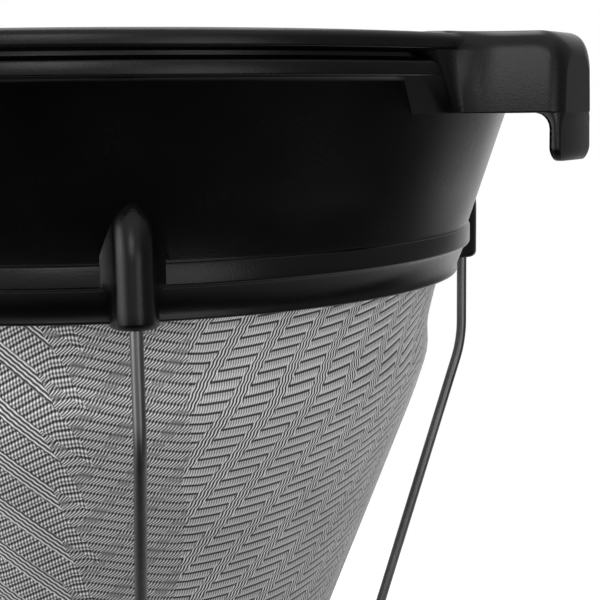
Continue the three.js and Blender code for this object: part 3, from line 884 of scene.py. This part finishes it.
def makeTip(material, run):
    # the closed round point of the cone
    s = sheetSizes
    tip, core = s["tipRadius"], s["inset"]
    outside = []
    distance = run[-1][0] - s["tipLap"]
    while distance < run[-1][0]:
        depth, radius = levelAt(run, distance)
        outside.append((radius - s["inset"], -depth))
        distance += 1
    centre = -(s["depth"] - tip)
    outside += [(tip * math.cos(math.radians(a)), centre - tip * math.sin(math.radians(a))) for a in (82, 86)]
    outside.append((core, -s["depth"] + s["inset"]))
    inside = [(max(radius - s["tipThickness"], core), height + 0.5) for radius, height in outside][::-1]
    piece = lathe("cone_tip", outside + inside, 48)
    piece.data.materials.append(material)
    sheetUv(piece)
    smooth(piece, 40)
    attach(piece, "root")
    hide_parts("mesh_basket")


def sheetUv(piece):
    # lays the weave on a small piece by its angle and its height, in mm
    layer = piece.data.uv_layers.new(name="sheet")
    for loop in piece.data.loops:
        spot = piece.data.vertices[loop.vertex_index].co
        angle = math.atan2(spot.y, spot.x - axisX)
        radius = math.hypot(spot.y, spot.x - axisX)
        layer.data[loop.index].uv = (angle * radius / mm, spot.z / mm)


weaveLook = {
    "gap": 0.02, "wire": 0.27, "bright": 0.95,               # the weave's three greys
    "slant": 1.08,           # mm of sheet for each mm down
    "stitch": 0.52,          # mm between fine wires
    "stroke": 0.7,           # mm between the strokes in a band
    "bandPitch": 9.4,        # mm between the slanted bands
    "bandSlant": 0.6,        # sideways run of a band for each mm down the sheet
    "bandShare": 0.34,
    "turnedSlant": 0.78,     # drop of a band for each mm to the right, where the cloth is turned
    "turnedPitch": 10, "turnedShare": 0.38,
    "turnAngle": -54.6,      # where the cloth turns, degrees round the bowl
    "softAngle": -37,        # up to here the strokes run in every row
    "farAngle": -88,
    "ragged": 5, "saw": 7,   # how far these borders wander and step, degrees
    "leanPitch": 0.76, "crossPitch": 0.66, "ribbonPitch": 0.92,
    "shadeTop": 45, "shadeBottom": 100, "shade": 0.13,       # painted shade: the cloth's colour is darker lower down
    "metal": 0.2,
    "roughness": 0.45,
}


def wovenSteel():
    # across and rows follow the cloth, in mm; each weave gives a tone from 0, a gap, to 1, a lit wire
    material = bpy.data.materials.new("woven_steel")
    shader = Shader(material)
    look, pitch = weaveLook, sheetSizes["rowPitch"]
    full = 2 * math.pi
    uv = shader.add("ShaderNodeUVMap", {"uv_map": "sheet"})
    split = shader.add("ShaderNodeSeparateXYZ", in0=uv.outputs[0])
    across, rows = shader.value(split, 0), shader.value(split, 1)
    spot = shader.add("ShaderNodeTexCoord").outputs["Object"]
    where = shader.add("ShaderNodeSeparateXYZ", in0=spot)
    cloud = shader.value(shader.add("ShaderNodeTexNoise", Vector=spot, Scale=90, Detail=2))
    away = shader.value(where, 0) - axisX
    angle = shader.value(where, 1).make("ARCTAN2", away) * (180 / math.pi) + cloud * look["ragged"] \
        - look["ragged"] / 2
    down = shader.value(where, 2) * (-look["slant"] / mm)

    fall = down - across * look["turnedSlant"]
    step = (fall / look["turnedPitch"]).fract()
    edge = angle - step * look["saw"] + look["saw"] / 2
    turned = (edge < look["turnAngle"]) * (angle > look["farAngle"])
    loose = (angle < look["softAngle"]) * (angle > look["farAngle"]) * (1 - turned)
    band = ((across + down * look["bandSlant"]) / look["bandPitch"]).fract() < look["bandShare"]
    turnedBand = step < look["turnedShare"]

    turn = rows * (full / pitch)
    line = (turn.cosine() - 0.55).most(0) * 2.2
    stitch = ((across + down * 0.12) * (full / look["stitch"])).sine()
    brick = 0.66 + stitch * 0.24 + turn.sine() * 0.08 - line * 0.7
    stroke = 0.46 + ((across + down * 0.36) * (full / look["stroke"]) + turn.sine() * 0.6).sine() * 0.55
    leaning = 0.52 + ((across + down * 0.7) * (full / look["leanPitch"]) + turn.sine() * 1.3).sine() * 0.42 \
        - line * 0.34
    cross = 0.48 + ((across - down * 0.3) * (full / look["crossPitch"])).sine() * 0.32 \
        - (turn * 2).cosine() * 0.3 - turn.cosine() * 0.16
    ribbon = 0.5 + (fall * (full / look["ribbonPitch"])).sine() * 0.5

    firm = brick * (1 - band) + stroke * band
    soft = leaning * (1 - band * 0.45) + stroke * band * 0.45
    herring = cross * (1 - turnedBand) + ribbon * turnedBand
    tone = firm * (1 - turned - loose) + soft * loose + herring * turned
    # painted shade: the colour darkens by up to 13% down the cone
    lower = shader.eased(down, look["shadeTop"], look["shadeBottom"])
    tone = tone * (cloud * 0.2 + 0.9) * (1.04 - lower * look["shade"])
    colour = shader.add("ShaderNodeValToRGB", {"stops": [
        (0.05, grey(look["gap"])), (0.5, grey(look["wire"])), (0.95, grey(look["bright"]))]}, Fac=tone)
    bump = shader.add("ShaderNodeBump", Strength=0.35, Distance=0.0001, Height=tone)
    surface = shader.add("ShaderNodeBsdfPrincipled", Base_Color=colour.outputs[0], Metallic=look["metal"],
                         Roughness=look["roughness"] - tone * 0.1, Normal=bump.outputs[0])
    shader.add("ShaderNodeOutputMaterial", Surface=surface.outputs[0])
    return material


# camera, as solved from the photograph's view

view = {
    "eye": (104.75, -232.1, 1.52),                           # mm
    "heading": 33.503, "pitch": 8.351, "roll": -0.804,       # degrees
    "focal": 1310.4, "frame": 600,                           # pixels
    "sensor": 36,
}


def makeCamera():
    # returns the way it looks
    heading, pitch, roll = (math.radians(view[name]) for name in ("heading", "pitch", "roll"))
    right = Vector((math.cos(heading), math.sin(heading), 0))
    ahead = Vector((-math.sin(heading) * math.cos(pitch), math.cos(heading) * math.cos(pitch), -math.sin(pitch)))
    up = right.cross(ahead)
    tiltedRight = right * math.cos(roll) + up * math.sin(roll)
    tiltedUp = up * math.cos(roll) - right * math.sin(roll)
    turn = Matrix((tiltedRight, tiltedUp, -ahead)).transposed().to_4x4()
    data = bpy.data.cameras.new("camera")
    data.sensor_width = view["sensor"]
    data.lens = view["focal"] / view["frame"] * view["sensor"]
    data.clip_start = 0.01
    camera = bpy.data.objects.new("camera", data)
    camera.matrix_world = Matrix.Translation(Vector(view["eye"]) * mm) @ turn
    bpy.context.scene.collection.objects.link(camera)
    bpy.context.scene.camera = camera
    return ahead


# room

room = {
    "floorGap": 0.4, "floorRadius": 420, "floorColour": 0.5, "floorGlow": 0.62,
    "sheenReach": 310,       # half the length over which the floor's reflection brightens, mm
    "fill": 0.9,             # level of the room's soft light
    "front": 0.42,           # what a shiny side facing the camera mirrors, at eye level
    "ceiling": 0.2,          # and overhead
    "window": 0.9,           # a soft window to the right of the camera
    "box": 0.85,             # a soft box to the left of the camera
    "over": 1.9,             # a small one over the camera
}


def rayKinds(shader):
    # whether a ray looks straight at the room, and whether it is a reflection
    path = shader.add("ShaderNodeLightPath")
    camera, glossy, clear = (Expr(shader.tree, path.outputs["Is " + kind + " Ray"])
                             for kind in ("Camera", "Glossy", "Transmission"))
    return camera.most(clear), glossy


def makeRoom(forward):
    world = bpy.data.worlds.new("room")
    bpy.context.scene.world = world
    shader = Shader(world)
    seen, glossy = rayKinds(shader)
    direction = shader.add("ShaderNodeTexCoord").outputs["Generated"]
    right = Vector((forward.y, -forward.x, 0))
    upward = shader.along(direction, (0, 0, 1))
    under = shader.eased(upward * -1, 0.15, 0.3)
    onward = shader.along(direction, forward)
    behind = shader.eased(onward, 0.66, 0.98) * (1 - under) + shader.eased(onward, 0.3, 0.95) * under

    def glow(aside, sink, low, high):
        # a soft patch of light at an angle right of the camera and a drop below eye level, in degrees
        turn, tilt = math.radians(aside), math.radians(-sink)
        way = (-forward * math.cos(turn) + right * math.sin(turn)) * math.cos(tilt) + Vector((0, 0, math.sin(tilt)))
        return shader.eased(shader.along(direction, way), low, high)

    window = glow(31, 9, 0.955, 0.985) * room["window"]
    box = glow(-64, 3, 0.88, 0.97) * room["box"]
    over = glow(-4, -15, 0.955, 0.995) * room["over"]
    dim = 1 - shader.eased(shader.along(direction, right), 0.5, 0.85) * 0.6
    front = shader.eased(upward, -0.5, -0.18) * room["front"] * dim
    front = front + shader.eased(upward, 0.1, 0.7) * room["ceiling"] + 0.005
    mirror = front.most(behind) + window + box + over
    level = seen + glossy * (1 - seen) * mirror + (1 - seen.most(glossy)) * room["fill"]
    background = shader.add("ShaderNodeBackground", Color=grey(1), Strength=level)
    shader.add("ShaderNodeOutputWorld", Surface=background.outputs[0])


def makeFloor(forward):
    disc = bmesh.new()
    bmesh.ops.create_circle(disc, cap_ends=True, segments=96, radius=room["floorRadius"] * mm)
    mesh = bpy.data.meshes.new("floor")
    disc.to_mesh(mesh)
    disc.free()
    floor = objectFrom(mesh, "floor")
    floor.location = (axisX, 0, cadBox[0][2] - room["floorGap"] * mm)
    material = bpy.data.materials.new("pale_floor")
    shader = Shader(material)
    seen, glossy = rayKinds(shader)
    spot = shader.add("ShaderNodeTexCoord").outputs["Object"]
    reach = shader.along(spot, forward) / (room["sheenReach"] * mm) * 0.5 + 0.5
    # black plastic mirrors the floor: dark towards the camera, bright beyond the strainer
    sheen = shader.value(shader.add("ShaderNodeValToRGB", {"stops": [
        (0.0, grey(0.005)), (0.12, grey(0.05)), (0.3, grey(0.24)), (0.57, grey(0.4)), (0.75, grey(0.58)),
        (0.92, grey(0.8)), (1.0, grey(1))]}, Fac=reach))
    matt = shader.add("ShaderNodeBsdfDiffuse", Color=grey(room["floorColour"]))
    glowing = shader.add("ShaderNodeEmission", Color=grey(1), Strength=seen * room["floorGlow"])
    lit = shader.add("ShaderNodeAddShader", in0=matt.outputs[0], in1=glowing.outputs[0])
    mirrored = shader.add("ShaderNodeEmission", Color=grey(1), Strength=sheen)
    both = shader.add("ShaderNodeMixShader", Fac=glossy, in1=lit.outputs[0], in2=mirrored.outputs[0])
    shader.add("ShaderNodeOutputMaterial", Surface=both.outputs[0])
    floor.data.materials.append(material)


# lamps: place from the bowl's axis and the rim in mm, angle round the axis, power in watts
lamps = {
    "left_box": {"angle": -132, "reach": 800, "height": 60, "size": (700, 500), "power": 1.3},
    "top_box": {"angle": 130, "reach": 300, "height": 800, "size": (700, 700), "power": 3},
}


def makeLamps():
    target = place(0, 0, -90)
    for name, lamp in lamps.items():
        data = bpy.data.lights.new(name, "AREA")
        data.shape = "RECTANGLE"
        data.size, data.size_y = (side * mm for side in lamp["size"])
        data.energy = lamp["power"]
        light = bpy.data.objects.new(name, data)
        light.location = place(lamp["reach"], math.radians(lamp["angle"]), lamp["height"])
        light.rotation_euler = (target - light.location).to_track_quat("-Z", "Y").to_euler()
        bpy.context.scene.collection.objects.link(light)


bpy.context.scene.view_settings.view_transform = "Standard"
ahead = makeCamera()
forward = Vector((ahead.x, ahead.y, 0)).normalized()
makeRoom(forward)
makeFloor(forward)
makeLamps()
print("camera and room ready")
makeMoulding(blackComposite())
makeGuards(drawnWire())
makeCone(wovenSteel())
